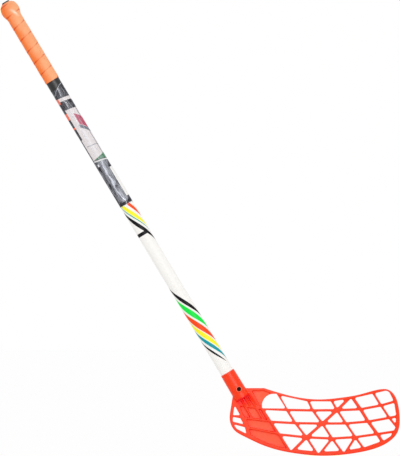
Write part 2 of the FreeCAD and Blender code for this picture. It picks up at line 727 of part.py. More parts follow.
os.makedirs("parts", exist_ok=True)
for piece in pieces:
    piece.Shape.exportStep(f"parts/{piece.Label}.step")
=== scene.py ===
import bpy
import json
import math
from mathutils import Matrix, Vector, noise
from mathutils.bvhtree import BVHTree


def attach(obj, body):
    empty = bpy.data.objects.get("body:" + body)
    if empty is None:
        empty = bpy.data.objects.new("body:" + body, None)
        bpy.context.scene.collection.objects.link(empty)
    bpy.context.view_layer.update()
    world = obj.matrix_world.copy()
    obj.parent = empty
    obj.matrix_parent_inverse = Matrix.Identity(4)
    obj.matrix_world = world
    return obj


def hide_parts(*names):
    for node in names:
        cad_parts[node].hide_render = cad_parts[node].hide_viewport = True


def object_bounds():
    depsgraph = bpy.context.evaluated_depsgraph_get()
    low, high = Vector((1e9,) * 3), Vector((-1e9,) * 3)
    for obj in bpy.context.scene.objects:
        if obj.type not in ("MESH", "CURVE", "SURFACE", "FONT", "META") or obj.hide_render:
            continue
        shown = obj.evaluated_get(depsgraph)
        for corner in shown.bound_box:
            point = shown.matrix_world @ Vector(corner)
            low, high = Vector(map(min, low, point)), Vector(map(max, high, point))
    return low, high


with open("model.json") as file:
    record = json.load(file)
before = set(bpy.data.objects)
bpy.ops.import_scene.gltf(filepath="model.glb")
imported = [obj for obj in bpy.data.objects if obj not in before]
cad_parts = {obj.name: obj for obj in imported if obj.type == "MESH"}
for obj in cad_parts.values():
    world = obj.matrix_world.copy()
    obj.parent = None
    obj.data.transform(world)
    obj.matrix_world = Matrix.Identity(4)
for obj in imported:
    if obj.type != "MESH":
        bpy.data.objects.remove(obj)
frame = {"nodes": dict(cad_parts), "record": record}
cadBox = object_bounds()
nodes = frame["nodes"]
print("frame loaded:", len(nodes), "nodes")

# round pieces are modelled upright on Z and then leaned onto the shaft's axis
gripMount = next(mount for mount in frame["record"]["mounts"] if mount["name"] == "grip")
shaftUp = Vector(gripMount["axis"]).normalized()
leanAngle = math.atan2(-shaftUp.x, shaftUp.z)
leanTurn = Matrix.Rotation(-leanAngle, 4, "Y")
shaftSide = Vector((shaftUp.z, 0, -shaftUp.x))        # square to the shaft, towards the toe

smoothAngle = math.radians(40)        # edges sharper than this stay sharp
cutThreshold = 0.000001               # a cut closer than this to a point goes through it


def reach(name):        # how far a CAD node runs along the shaft
    heights = [vertex.co.dot(shaftUp) for vertex in nodes[name].data.vertices]
    return min(heights), max(heights)


def girth(name):        # a CAD node's largest radius round the shaft
    points = [vertex.co for vertex in nodes[name].data.vertices]
    return max((point - shaftUp * point.dot(shaftUp)).length for point in points)


# working by hand: select, edit, apply

def pickOnly(piece):
    bpy.ops.object.select_all(action="DESELECT")
    piece.select_set(True)
    bpy.context.view_layer.objects.active = piece


def pickEdges(piece, wanted):        # leaves the piece in edit mode with these edges selected
    bpy.ops.object.mode_set(mode="EDIT")
    bpy.ops.mesh.select_mode(type="EDGE")
    bpy.ops.mesh.select_all(action="DESELECT")
    bpy.ops.object.mode_set(mode="OBJECT")
    points = piece.data.vertices
    for edge in piece.data.edges:
        edge.select = wanted(points[edge.vertices[0]].co, points[edge.vertices[1]].co)
    bpy.ops.object.mode_set(mode="EDIT")


def mergeDoubles(distance):
    bpy.ops.object.mode_set(mode="EDIT")
    bpy.ops.mesh.select_all(action="SELECT")
    bpy.ops.mesh.remove_doubles(threshold=distance)
    bpy.ops.object.mode_set(mode="OBJECT")


def applyModifier(piece, kind, **settings):
    modifier = piece.modifiers.new(kind.title(), kind)
    for setting, value in settings.items():
        setattr(modifier, setting, value)
    bpy.ops.object.modifier_apply(modifier=modifier.name)


def seatOnShaft(piece, body, slot, *replaced):
    bpy.ops.object.mode_set(mode="EDIT")
    bpy.ops.mesh.select_all(action="SELECT")
    bpy.ops.mesh.normals_make_consistent(inside=False)
    bpy.ops.object.mode_set(mode="OBJECT")
    piece.matrix_world = leanTurn
    bpy.ops.object.transform_apply(location=True, rotation=True, scale=True)
    bpy.ops.object.shade_smooth_by_angle(angle=smoothAngle)
    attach(piece, body)
    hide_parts(*replaced)


def smoothStep(low, high, value):
    share = min(1, max(0, (value - low) / (high - low)))
    return share * share * (3 - 2 * share)


# shared colour and node helpers

def paint(red, green, blue):        # a colour as it shows on screen, 0 to 255
    shares = [level / 255 for level in (red, green, blue)]
    linear = [share / 12.92 if share <= 0.04045 else ((share + 0.055) / 1.055) ** 2.4 for share in shares]
    return linear + [1]


def addNode(tree, kind, inputs=None, **settings):
    node = tree.nodes.new("ShaderNode" + kind)
    for setting, value in settings.items():
        setattr(node, setting, value)
    for socket, value in (inputs or {}).items():
        if isinstance(value, bpy.types.NodeSocket):
            tree.links.new(value, node.inputs[socket])
        else:
            node.inputs[socket].default_value = value
    return node


def calculate(tree, operation, *values, clamp=False):
    inputs = dict(enumerate(values))
    return addNode(tree, "Math", inputs, operation=operation, use_clamp=clamp).outputs[0]


def layer(tree, mask, below, above):        # one colour over another
    return addNode(tree, "Mix", {0: mask, 6: below, 7: above}, data_type="RGBA").outputs[2]


def pastEdge(tree, more, less, width):        # 0 at an edge, rising to 1 at this width past it
    return calculate(tree, "DIVIDE", calculate(tree, "SUBTRACT", more, less), width, clamp=True)


def closeTo(tree, distance, width):        # 1 on a line, fading to 0 at this distance from it
    return calculate(tree, "SUBTRACT", 1.0, calculate(tree, "DIVIDE", distance, width), clamp=True)


def newGroup(name, inputs, outputs):
    group = bpy.data.node_groups.new(name, "ShaderNodeTree")
    for label, kind in inputs:
        group.interface.new_socket(label, in_out="INPUT", socket_type="NodeSocket" + kind)
    for label, kind in outputs:
        group.interface.new_socket(label, in_out="OUTPUT", socket_type="NodeSocket" + kind)
    return group, group.nodes.new("NodeGroupInput").outputs, group.nodes.new("NodeGroupOutput").inputs


def useGroup(tree, group, **inputs):
    return addNode(tree, "Group", inputs, node_tree=group).outputs


def newMaterial(name, **plain):        # a Principled material with its plain sockets set
    material = bpy.data.materials.new(name)
    material.use_nodes = True
    tree = material.node_tree
    shader = tree.nodes["Principled BSDF"]
    for socket, value in plain.items():
        shader.inputs[socket].default_value = value
    place = addNode(tree, "TexCoord").outputs["Object"]
    return material, tree, shader, place


def gloss(piece):        # the plain sockets that most finishes set
    return {"Roughness": piece["roughness"], "Specular IOR Level": piece["specular"]}


# where a point lies on the shaft: height along it, and turn from the front towards the right

def makeShaftPlace():
    outputs = [("Height", "Float"), ("Turn", "Float")]
    group, given, result = newGroup("shaftPlace", [("Place", "Vector")], outputs)
    upright = addNode(group, "Mapping", {"Vector": given["Place"], "Rotation": (0, leanAngle, 0)})
    parts = addNode(group, "SeparateXYZ", {0: upright.outputs[0]}).outputs
    front = calculate(group, "MULTIPLY", parts["Y"], -1)
    turn = calculate(group, "ARCTAN2", parts["X"], front)
    group.links.new(parts["Z"], result["Height"])
    group.links.new(turn, result["Turn"])
    return group


# fine unevenness: a height for bump and a slow mottle for colour

graining = {
    "fineDetail": 3.0,
    "slowDetail": 2.0,
}


def makeFineGrain():
    inputs = [("Place", "Vector"), ("Grain", "Float"), ("Mottle", "Float")]
    group, given, result = newGroup("fineGrain", inputs, [("Height", "Float"), ("Shade", "Float")])
    fineInputs = {"Vector": given["Place"], "Scale": given["Grain"], "Detail": graining["fineDetail"]}
    slowInputs = {"Vector": given["Place"], "Scale": given["Mottle"], "Detail": graining["slowDetail"]}
    group.links.new(addNode(group, "TexNoise", fineInputs).outputs[0], result["Height"])
    group.links.new(addNode(group, "TexNoise", slowInputs).outputs[0], result["Shade"])
    return group


# printed marks: a slanting streak that runs out to a point at both ends, and a band

printing = {
    "edge": 0.0004,            # print fades out over this height
    "turnEdge": 0.03,          # and over this turn
}


def makeStreak():
    inputs = [(label, "Float") for label in ("Height", "Turn", "Centre", "Middle", "Reach", "Slope", "Width")]
    group, given, result = newGroup("taperedStreak", inputs, [("Mask", "Float")])
    fromMiddle = calculate(group, "SUBTRACT", given["Turn"], given["Middle"])
    across = calculate(group, "WRAP", fromMiddle, math.pi, -math.pi)
    drop = calculate(group, "MULTIPLY", across, given["Slope"])
    off = calculate(group, "SUBTRACT", calculate(group, "ADD", given["Height"], drop), given["Centre"])
    share = calculate(group, "DIVIDE", across, given["Reach"])
    taper = calculate(group, "SUBTRACT", 1.0, calculate(group, "MULTIPLY", share, share))
    room = calculate(group, "SUBTRACT", calculate(group, "MULTIPLY", taper, given["Width"]),
                     calculate(group, "ABSOLUTE", off))
    group.links.new(calculate(group, "DIVIDE", room, printing["edge"], clamp=True), result["Mask"])
    return group


# a band of print between two heights and two turns

def makeBand():
    inputs = [(label, "Float") for label in ("Height", "Turn", "Top", "Bottom", "Slant", "Left", "Right")]
    group, given, result = newGroup("printBand", inputs, [("Mask", "Float")])
    tilt = calculate(group, "MULTIPLY", given["Slant"], given["Turn"])
    tilted = calculate(group, "SUBTRACT", given["Height"], tilt)
    under = pastEdge(group, given["Top"], tilted, printing["edge"])
    over = pastEdge(group, tilted, given["Bottom"], printing["edge"])
    right = pastEdge(group, given["Turn"], given["Left"], printing["turnEdge"])
    left = pastEdge(group, given["Right"], given["Turn"], printing["turnEdge"])
    mask = calculate(group, "MULTIPLY", calculate(group, "MULTIPLY", under, over),
                     calculate(group, "MULTIPLY", right, left))
    group.links.new(mask, result["Mask"])
    return group


# a wavering crease along the shaft, broken up along its length

creasing = {
    "waves": 42.0,             # noise steps to the metre, along a crease
    "lineDetail": 1.0,
    "swayScale": 1.0,
    "swayMiddle": 0.5,
    "breadthScale": 1.7,
    "breadthFrom": 0.2,
    "breadthGain": 2.6,
    "patchesAlong": 48.0,      # to the metre
    "patchesRound": 4.0,       # to the radian
    "patchDetail": 2.0,
    "patchFrom": 0.2,
    "patchGain": 2.2,
    "seedStep": 7,             # a crease's turn times this is its seed
}


def makeCrease():
    inputs = [(label, "Float") for label in ("Height", "Turn", "Middle", "Width", "Seed")]
    group, given, result = newGroup("filmCrease", inputs, [("Mask", "Float")])
    waves = calculate(group, "MULTIPLY", given["Height"], creasing["waves"])
    along = calculate(group, "ADD", waves, given["Seed"])
    swayInputs = {"W": along, "Scale": creasing["swayScale"], "Detail": creasing["lineDetail"]}
    sway = addNode(group, "TexNoise", swayInputs, noise_dimensions="1D").outputs[0]
    breadthInputs = {"W": along, "Scale": creasing["breadthScale"], "Detail": creasing["lineDetail"]}
    breadth = addNode(group, "TexNoise", breadthInputs, noise_dimensions="1D").outputs[0]
    sway = calculate(group, "SUBTRACT", sway, creasing["swayMiddle"])
    line = calculate(group, "ADD", given["Middle"], sway)
    off = calculate(group, "ABSOLUTE", calculate(group, "SUBTRACT", given["Turn"], line))
    swell = calculate(group, "SUBTRACT", breadth, creasing["breadthFrom"])
    swell = calculate(group, "MULTIPLY", swell, creasing["breadthGain"])
    half = calculate(group, "MULTIPLY", given["Width"], swell)
    share = calculate(group, "DIVIDE", off, half)
    solid = calculate(group, "SUBTRACT", 1.0, calculate(group, "MULTIPLY", share, share), clamp=True)
    patchUp = calculate(group, "MULTIPLY", given["Height"], creasing["patchesAlong"])
    patchRound = calculate(group, "MULTIPLY", given["Turn"], creasing["patchesRound"])
    patchPlace = addNode(group, "CombineXYZ", {0: patchUp, 1: patchRound, 2: given["Seed"]}).outputs[0]
    patchInputs = {"Vector": patchPlace, "Scale": 1.0, "Detail": creasing["patchDetail"]}
    patches = addNode(group, "TexNoise", patchInputs).outputs[0]
    broken = calculate(group, "MULTIPLY", calculate(group, "SUBTRACT", patches, creasing["patchFrom"]),
                       creasing["patchGain"], clamp=True)
    group.links.new(calculate(group, "MULTIPLY", solid, broken), result["Mask"])
    return group


shaftPlace = makeShaftPlace()
filmCrease = makeCrease()
fineGrain = makeFineGrain()
taperedStreak = makeStreak()
printBand = makeBand()
print("node groups ready")


def addBump(tree, shader, height, depth):
    bump = addNode(tree, "Bump", {"Height": height, "Distance": depth, "Strength": 1.0})
    tree.links.new(bump.outputs[0], shader.inputs["Normal"])


def grainOf(tree, piece, place):
    return useGroup(tree, fineGrain, Place=place, Grain=piece["grain"], Mottle=piece["mottle"])


def grainedFinish(name, piece):        # two close colours in a fine grain, for the plain pieces
    material, tree, shader, place = newMaterial(name, **gloss(piece))
    grain = grainOf(tree, piece, place)
    colour = layer(tree, grain["Shade"], piece["deepColour"], piece["colour"])
    tree.links.new(colour, shader.inputs["Base Color"])
    addBump(tree, shader, grain["Height"], piece["bump"])
    return material


def wear(name, material):        # puts a finish on a CAD node
    nodes[name].material_slots[0].material = material


# grip tape, wound from the knob's rim down the shaft

gripTape = {
    "pitch": 0.02135,          # one turn to the next
    "thickness": 0.0009,
    "clearance": 0.00005,
    "merge": 0.000002,
    "seamHeight": 0.0523,      # where a seam would pass the shaft's right side
    "sway": 0.0012,            # the winding runs flatter in front and steeper at the back
    "lift": 0.0003,            # each turn's lower edge rides on the turn below
    "grooveDepth": 0.0004,
    "grooveReach": 0.0005,
    "outerStrips": 59,
    "innerStrips": 11,
    "stepsPerTurn": 120,
    "knobFoot": 0.0602,        # the tape leaves the shaft for the knob above this height
    "knobSteps": 160,
    "rayStart": 0.05,          # the knob's line is felt from this far in front
    "rimGap": 0.00001,
    "knobRadius": 0.0152,
    "lastTurn": 0.0555,        # the winding runs out into the knob's own turn here
    "ringHeight": 0.0672,      # lower edge of the turn over the knob
    "ringTilt": -0.0018,
    "rimHeight": 0.0853,       # painted shade along the crease under the cap's face, on the left
    "rimTilt": -0.0012,
    "rimEnd": 0.3,
    "rimFade": 0.6,
    "ringDepth": 0.0004,
    "ringReach": 0.0008,
    "pleatHeight": 0.0655,
    "pleatSpan": 0.006,
    "pleatDepth": 0.0007,
    "pleatsPerTurn": 3.4,
    "pleatSlice": 0.3,         # which slice of the noise the puckers come from
    "foldTop": 0.0772,         # one long fold down the knob's front
    "foldFoot": 0.0578,
    "foldTurn": 0.0,
    "foldDrift": 36.0,         # turn to the right for each metre down
    "foldEnds": 0.005,         # the fold rises and dies away over this height
    "foldRise": 0.0004,
    "foldWidth": 0.0014,
    "foldHighlightWidth": 0.26,
    "colour": paint(255, 177, 127),
    "deepColour": paint(255, 128, 58),
    "paintedLightTurn": 0.8,           # painted light: paler round this turn, deeper away from it
    "paintedLightFrom": 0.5,
    "paintedLightGain": 1.0,
    # painted shade: the seams' dark lines and the knob's creases
    "seamShadeColour": paint(226, 70, 22),
    # painted highlight along the knob's fold
    "foldHighlightColour": paint(255, 236, 212),
    "seamShadow": 0.0016,
    "flatTurn": 0.15,
    "flatShade": 0.12,
    "sideShade": 1.5,
    "roughness": 0.42,
    "specular": 0.13,
    "grain": 1600.0,
    "mottle": 60.0,
    "bump": 0.00012,
}


def windGripTape():
    low, high = reach("grip_tape")
    pitch = gripTape["pitch"]
    inner = girth("shaft_tube") + gripTape["clearance"]
    outer = inner + gripTape["thickness"]
    contour = knobContour(high)
    top = contour[-1][0]
    first = gripTape["seamHeight"] - pitch * math.ceil((gripTape["seamHeight"] - low) / pitch + 1)
    turns = math.ceil((top - first) / pitch) + 1
    bpy.ops.object.select_all(action="DESELECT")
    place = ((inner + outer) / 2, 0, first + pitch / 2)
    bpy.ops.mesh.primitive_plane_add(size=1, location=place, rotation=(math.pi / 2, 0, 0))
    tape = bpy.context.object
    tape.name = "gripWinding"
    tape.scale = (gripTape["thickness"], pitch, 1)
    bpy.ops.object.transform_apply(location=True, rotation=True, scale=True)
    # two upright lines, the tape's inside and outside, wound up together
    pickEdges(tape, lambda start, end: abs(start.z - end.z) < pitch / 2)
    bpy.ops.mesh.delete(type="EDGE")
    bpy.ops.object.mode_set(mode="OBJECT")
    pickEdges(tape, lambda start, end: start.x > place[0])
    bpy.ops.mesh.subdivide(number_cuts=gripTape["outerStrips"])
    bpy.ops.object.mode_set(mode="OBJECT")
    pickEdges(tape, lambda start, end: start.x < place[0])
    bpy.ops.mesh.subdivide(number_cuts=gripTape["innerStrips"])
    bpy.ops.object.mode_set(mode="OBJECT")
    applyModifier(tape, "SCREW", axis="Z", angle=2 * math.pi, screw_offset=pitch, iterations=turns,
                  steps=gripTape["stepsPerTurn"], render_steps=gripTape["stepsPerTurn"])
    mergeDoubles(gripTape["merge"])
    for vertex in tape.data.vertices:
        vertex.co.z -= gripTape["sway"] * math.cos(math.atan2(vertex.co.y, vertex.co.x))
    bpy.ops.object.mode_set(mode="EDIT")
    for level, way in ((low, -1), (top, 1)):
        bpy.ops.mesh.select_all(action="SELECT")
        bpy.ops.mesh.bisect(plane_co=(0, 0, level), plane_no=(0, 0, way), clear_outer=True,
                            threshold=cutThreshold)
    bpy.ops.object.mode_set(mode="OBJECT")
    for level in (low, top):
        closeEnd(tape, level)
    layTape(tape, contour, inner, outer)
    seatOnShaft(tape, "stick", "grip_orange", "grip_tape")
    return tape


def closeEnd(tape, level):        # joins the tape's open inner and outer lines at one end
    bpy.ops.object.mode_set(mode="EDIT")
    bpy.ops.mesh.select_mode(type="EDGE")
    bpy.ops.mesh.select_all(action="DESELECT")
    bpy.ops.mesh.select_non_manifold(use_wire=False, use_multi_face=False, use_non_contiguous=False,
                                     use_verts=False)
    bpy.ops.object.mode_set(mode="OBJECT")
    points = tape.data.vertices
    for edge in tape.data.edges:
        edge.select = edge.select and abs(points[edge.vertices[0]].co.z - level) < gripTape["pitch"] / 2
    bpy.ops.object.mode_set(mode="EDIT")
    bpy.ops.mesh.bridge_edge_loops()
    bpy.ops.object.mode_set(mode="OBJECT")


# the CAD tape's outer line from the shaft up to its rim: length along it, height, radius
def knobContour(high):
    knob = BVHTree.FromObject(nodes["grip_tape"], bpy.context.evaluated_depsgraph_get())
    front = Vector((0, -gripTape["rayStart"], 0))
    foot = gripTape["knobFoot"]
    climb = high - gripTape["rimGap"] - foot
    line = []
    for step in range(gripTape["knobSteps"] + 1):
        height = foot + climb * step / gripTape["knobSteps"]
        radius = -knob.ray_cast(shaftUp * height + front, -front)[0].y
        length = foot
        if line:
            length = line[-1][0] + math.hypot(height - line[-1][1], radius - line[-1][2])
        line.append((length, height, radius))
    return line


def alongContour(contour, length):        # height and radius at a length along the knob's line
    for before, after in zip(contour, contour[1:]):
        if length <= after[0]:
            share = (length - before[0]) / (after[0] - before[0])
            return before[1] + (after[1] - before[1]) * share, before[2] + (after[2] - before[2]) * share
    return contour[-1][1], contour[-1][2]


# each turn laps the one below, the last one follows the knob and puckers where it draws in
def layTape(tape, contour, inner, outer):
    for vertex in tape.data.vertices:
        point = vertex.co
        turn = math.atan2(point.y, point.x)
        radius = math.hypot(point.x, point.y)
        outside = radius > (inner + outer) / 2
        level = point.z + gripTape["sway"] * math.cos(turn)
        phase = ((level - gripTape["seamHeight"]) / gripTape["pitch"] - turn / (2 * math.pi)) % 1
        fromSeam = min(phase, 1 - phase) * gripTape["pitch"]
        wound = 1 - smoothStep(gripTape["lastTurn"], gripTape["knobFoot"], point.z)
        swell = 0
        if outside:
            groove = 1 - smoothStep(0, gripTape["grooveReach"], fromSeam)
            swell = wound * (gripTape["lift"] * (1 - phase) - gripTape["grooveDepth"] * groove)
        if point.z > gripTape["knobFoot"]:
            point.z, over = alongContour(contour, point.z)
            swell += over - outer
            if outside:
                swell += knobFolds(point.z, turn)
        stretch = (radius + swell) / radius
        point.x *= stretch
        point.y *= stretch


# the knob's own turn: its lower edge, puckers round the lower slope and one long fold
def knobFolds(height, turn):
    ring = gripTape["ringHeight"] - gripTape["ringTilt"] * math.cos(turn)
    edge = 1 - smoothStep(0, gripTape["ringReach"], abs(height - ring))
    near = abs(height - gripTape["pleatHeight"]) / gripTape["pleatSpan"]
    around = Vector((math.cos(turn), math.sin(turn), gripTape["pleatSlice"]))
    pucker = noise.noise(around * gripTape["pleatsPerTurn"])
    foldLine = gripTape["foldTurn"] + gripTape["foldDrift"] * (gripTape["foldTop"] - height) - math.pi / 2
    across = (turn - foldLine) * gripTape["knobRadius"] / gripTape["foldWidth"]
    inside = smoothStep(gripTape["foldFoot"], gripTape["foldFoot"] + gripTape["foldEnds"], height)
    inside *= 1 - smoothStep(gripTape["foldTop"] - gripTape["foldEnds"], gripTape["foldTop"], height)
    fold = gripTape["foldRise"] * inside * math.exp(-across * across)
    pleat = gripTape["pleatDepth"] * pucker * (1 - smoothStep(0, 1, near))
    return pleat - gripTape["ringDepth"] * edge + fold


def gripFinish():
    material, tree, shader, place = newMaterial("gripFinish", **gloss(gripTape))
    spot = useGroup(tree, shaftPlace, Place=place)
    height, turn = spot["Height"], spot["Turn"]
    grain = grainOf(tree, gripTape, place)
    rightward = calculate(tree, "SINE", turn)
    level = calculate(tree, "ADD", height, calculate(tree, "MULTIPLY", gripTape["sway"], rightward))
    above = calculate(tree, "SUBTRACT", level, gripTape["seamHeight"])
    turns = calculate(tree, "DIVIDE", above, gripTape["pitch"])
    fromSide = calculate(tree, "SUBTRACT", turn, math.pi / 2)
    wayRound = calculate(tree, "DIVIDE", fromSide, 2 * math.pi)
    phase = calculate(tree, "FRACT", calculate(tree, "SUBTRACT", turns, wayRound))
    fromSeam = calculate(tree, "MULTIPLY", gripTape["pitch"], calculate(
        tree, "MINIMUM", phase, calculate(tree, "SUBTRACT", 1.0, phase)))
    # the seam's dark line, the joint's own darker colour with painted shade under the laps, stops at the
    # knob, whose turn has its own lower edge with painted shade
    wound = pastEdge(tree, gripTape["knobFoot"], height, gripTape["knobFoot"] - gripTape["lastTurn"])
    ringLine = calculate(tree, "SUBTRACT", gripTape["ringHeight"], calculate(
        tree, "MULTIPLY", gripTape["ringTilt"], rightward))
    fromRing = calculate(tree, "ABSOLUTE", calculate(tree, "SUBTRACT", height, ringLine))
    seamLine = calculate(tree, "MULTIPLY", wound, closeTo(tree, fromSeam, gripTape["seamShadow"]))
    dark = calculate(tree, "MAXIMUM", seamLine, closeTo(tree, fromRing, gripTape["seamShadow"]))
    # the painted shade along the seams is faint in front and stronger towards the sides
    sideways = calculate(tree, "SUBTRACT", rightward, gripTape["flatTurn"])
    paintedLightStrength = calculate(tree, "ADD", gripTape["flatShade"], calculate(
        tree, "MULTIPLY", calculate(tree, "MULTIPLY", sideways, sideways), gripTape["sideShade"]), clamp=True)
    dark = calculate(tree, "MULTIPLY", dark, paintedLightStrength)
    rimLine = calculate(tree, "SUBTRACT", gripTape["rimHeight"], calculate(
        tree, "MULTIPLY", gripTape["rimTilt"], rightward))
    fromRim = calculate(tree, "ABSOLUTE", calculate(tree, "SUBTRACT", height, rimLine))
    leftSide = pastEdge(tree, gripTape["rimEnd"], turn, gripTape["rimFade"])
    dark = calculate(tree, "MAXIMUM", dark, calculate(
        tree, "MULTIPLY", leftSide, closeTo(tree, fromRim, gripTape["seamShadow"])))
    # painted highlight along the stretched fold on the knob
    foldLine = calculate(tree, "ADD", gripTape["foldTurn"], calculate(
        tree, "MULTIPLY", gripTape["foldDrift"], calculate(tree, "SUBTRACT", gripTape["foldTop"], height)))
    fromFold = calculate(tree, "ABSOLUTE", calculate(tree, "SUBTRACT", turn, foldLine))
    foldHalf = (gripTape["foldTop"] - gripTape["foldFoot"]) / 2
    foldMiddle = gripTape["foldTop"] - foldHalf
    fromMiddle = calculate(tree, "ABSOLUTE", calculate(tree, "SUBTRACT", height, foldMiddle))
    pale = calculate(tree, "MULTIPLY", closeTo(tree, fromFold, gripTape["foldHighlightWidth"]),
                     closeTo(tree, fromMiddle, foldHalf))
    # painted light over the mottle: paler on one side, deeper on the other
    towardLight = calculate(tree, "COSINE", calculate(tree, "SUBTRACT", turn, gripTape["paintedLightTurn"]))
    paintedSideLight = calculate(tree, "SUBTRACT", towardLight, gripTape["paintedLightFrom"])
    paintedSideLight = calculate(tree, "MULTIPLY", paintedSideLight, gripTape["paintedLightGain"])
    mottleAndSideLight = calculate(tree, "ADD", grain["Shade"], paintedSideLight, clamp=True)
    body = layer(tree, mottleAndSideLight, gripTape["deepColour"], gripTape["colour"])
    colour = layer(tree, dark, body, gripTape["seamShadeColour"])
    colour = layer(tree, pale, colour, gripTape["foldHighlightColour"])
    tree.links.new(colour, shader.inputs["Base Color"])
    addBump(tree, shader, grain["Height"], gripTape["bump"])
    return material


gripWinding = windGripTape()
gripWinding.data.materials.append(gripFinish())
print("grip wound:", len(gripWinding.data.polygons), "faces")


# end cap: dark moulded plastic

endCap = {
    "deepColour": paint(32, 29, 35),
    "colour": paint(56, 51, 58),
    "roughness": 0.45,
    "specular": 0.3,
    "grain": 2500.0,
    "mottle": 120.0,
    "bump": 0.00006,
}

wear("end_cap", grainedFinish("capFinish", endCap))


# finish tape: black vinyl drawn tight, with faint stretch lines round the shaft

finishTape = {
    "deepColour": paint(9, 6, 9),
    "colour": paint(26, 23, 28),
    "roughness": 0.4,
    "specular": 0.5,
    "grain": 900.0,
    "mottle": 90.0,
    "stretchLines": 900.0,
    "lineDetail": 2.0,
    "bump": 0.00005,
}


def finishTapeFinish():
    material, tree, shader, place = newMaterial("finishTapeFinish", **gloss(finishTape))
    spot = useGroup(tree, shaftPlace, Place=place)
    grain = grainOf(tree, finishTape, place)
    lineInputs = {"W": spot["Height"], "Scale": finishTape["stretchLines"],
                  "Detail": finishTape["lineDetail"]}
    lines = addNode(tree, "TexNoise", lineInputs, noise_dimensions="1D").outputs[0]
    colour = layer(tree, grain["Shade"], finishTape["deepColour"], finishTape["colour"])
    tree.links.new(colour, shader.inputs["Base Color"])
    addBump(tree, shader, lines, finishTape["bump"])
    return material


wear("finish_tape", finishTapeFinish())


# display card: plain bands of colour, with a dark lower part and painted reflections of the film's creases

displayCard = {
    "paper": paint(236, 227, 222),
    "paperLight": paint(243, 236, 232),
    # top, bottom, slant along the turn, left and right turn (3.2 either way goes all round), colour
    "bands": [
        (-0.070, -0.0905, -0.0018, -3.2, 3.2, paint(48, 48, 54)),
        (-0.0958, -0.112, -0.0018, -3.2, 3.2, paint(50, 48, 53)),
        # a grey band down the card's right side, darker there
        (-0.112, -0.2058, -0.0018, 0.96, 1.2, paint(168, 166, 168)),
        (-0.119, -0.140, -0.010, 0.15, 2.6, paint(196, 84, 108)),
        (-0.1405, -0.1475, -0.010, 0.0, 2.6, paint(112, 116, 126)),
        (-0.1800, -0.1813, -0.0017, -0.7, 1.6, paint(120, 132, 140)),
        (-0.2022, -0.216, 0.0023, -1.0, 1.7, paint(86, 142, 104)),
        (-0.2058, -0.2074, -0.0023, -3.2, 3.2, paint(66, 52, 50)),
        (-0.2072, -0.2098, -0.0023, -3.2, 3.2, paint(240, 236, 234)),
        (-0.2098, -0.300, -0.0023, -3.2, 3.2, paint(50, 49, 54)),
        (-0.2128, -0.2172, 0.0, -0.8, -0.5, paint(244, 244, 244)),
        (-0.086, -0.166, 0.0, -2.2, -0.72, paint(40, 36, 42)),
        (-0.166, -0.2085, 0.0, -2.0, -1.0, paint(74, 70, 76)),
        (-0.0885, -0.0985, 0.0, -2.2, -0.72, paint(255, 120, 92)),
        (-0.116, -0.128, 0.0, -2.2, -0.72, paint(255, 112, 78)),
        (-0.142, -0.1455, 0.0, -2.2, -0.72, paint(255, 112, 78)),
    ],
    "tightTo": -0.204,         # painted reflections are faint down to here, where the film lies tight on the card, and full below where it is looser
    "looseSpan": 0.008,
    "tightShare": 0.32,
    "endDark": 0.0042,         # and fade out where the film is tight again on the card's lower end
    "endSpan": 0.002,
    "paintedReflectionColour": paint(228, 231, 238),
    # turn, width and strength of the painted reflection streaks under the film
    "streaks": [
        (0.24, 0.85, 0.66), (-0.06, 0.3, 1.35), (-0.4, 0.45, 0.45), (0.5, 0.12, 0.5), (-1.0, 0.3, 0.35),
        (-0.6, 0.16, 0.25), (1.9, 0.4, 0.4), (1.8, 0.15, 0.7), (-2.2, 0.45, 0.4), (-2.3, 0.2, 0.7),
        (2.6, 0.14, 0.6),
    ],
    "roughness": 0.28,
    "specular": 0.2,
    "grain": 1200.0,
    "mottle": 70.0,
    "bump": 0.00012,
}


def cardFinish():
    material, tree, shader, place = newMaterial("cardFinish", **gloss(displayCard))
    spot = useGroup(tree, shaftPlace, Place=place)
    grain = grainOf(tree, displayCard, place)
    height, turn = spot["Height"], spot["Turn"]
    colour = layer(tree, grain["Shade"], displayCard["paper"], displayCard["paperLight"])
    for top, bottom, slant, left, right, ink in displayCard["bands"]:
        band = useGroup(tree, printBand, Height=height, Turn=turn, Top=top, Bottom=bottom, Slant=slant,
                        Left=left, Right=right)
        colour = layer(tree, band["Mask"], colour, ink)
    # painted reflections of the film's creases, stronger where the film stands off the card
    loose = pastEdge(tree, displayCard["tightTo"], height, displayCard["looseSpan"])
    paintedLightStrength = calculate(tree, "ADD", displayCard["tightShare"], calculate(
        tree, "MULTIPLY", loose, 1 - displayCard["tightShare"]))
    endLine = reach("display_card")[0] + displayCard["endDark"]
    paintedLightStrength = calculate(tree, "MULTIPLY", paintedLightStrength, pastEdge(tree, height, endLine, displayCard["endSpan"]))
    paintedReflection = addCreases(tree, height, turn, displayCard["streaks"], 0.0)
    colour = layer(tree, calculate(tree, "MULTIPLY", paintedReflection, paintedLightStrength), colour, displayCard["paintedReflectionColour"])
    tree.links.new(colour, shader.inputs["Base Color"])
    addBump(tree, shader, grain["Shade"], displayCard["bump"])
    return material


def addCreases(tree, height, turn, creases, mask):        # lays creases over a mask
    for middle, width, strength in creases:
        crease = useGroup(tree, filmCrease, Height=height, Turn=turn, Middle=middle, Width=width,
                          Seed=middle * creasing["seedStep"])
        mask = calculate(tree, "MAXIMUM", mask, calculate(tree, "MULTIPLY", crease["Mask"], strength))
    return mask


wear("display_card", cardFinish())
print("cap, finish tape and card finished")


# clear film shrunk over the card, creased along the shaft and cut on a slant

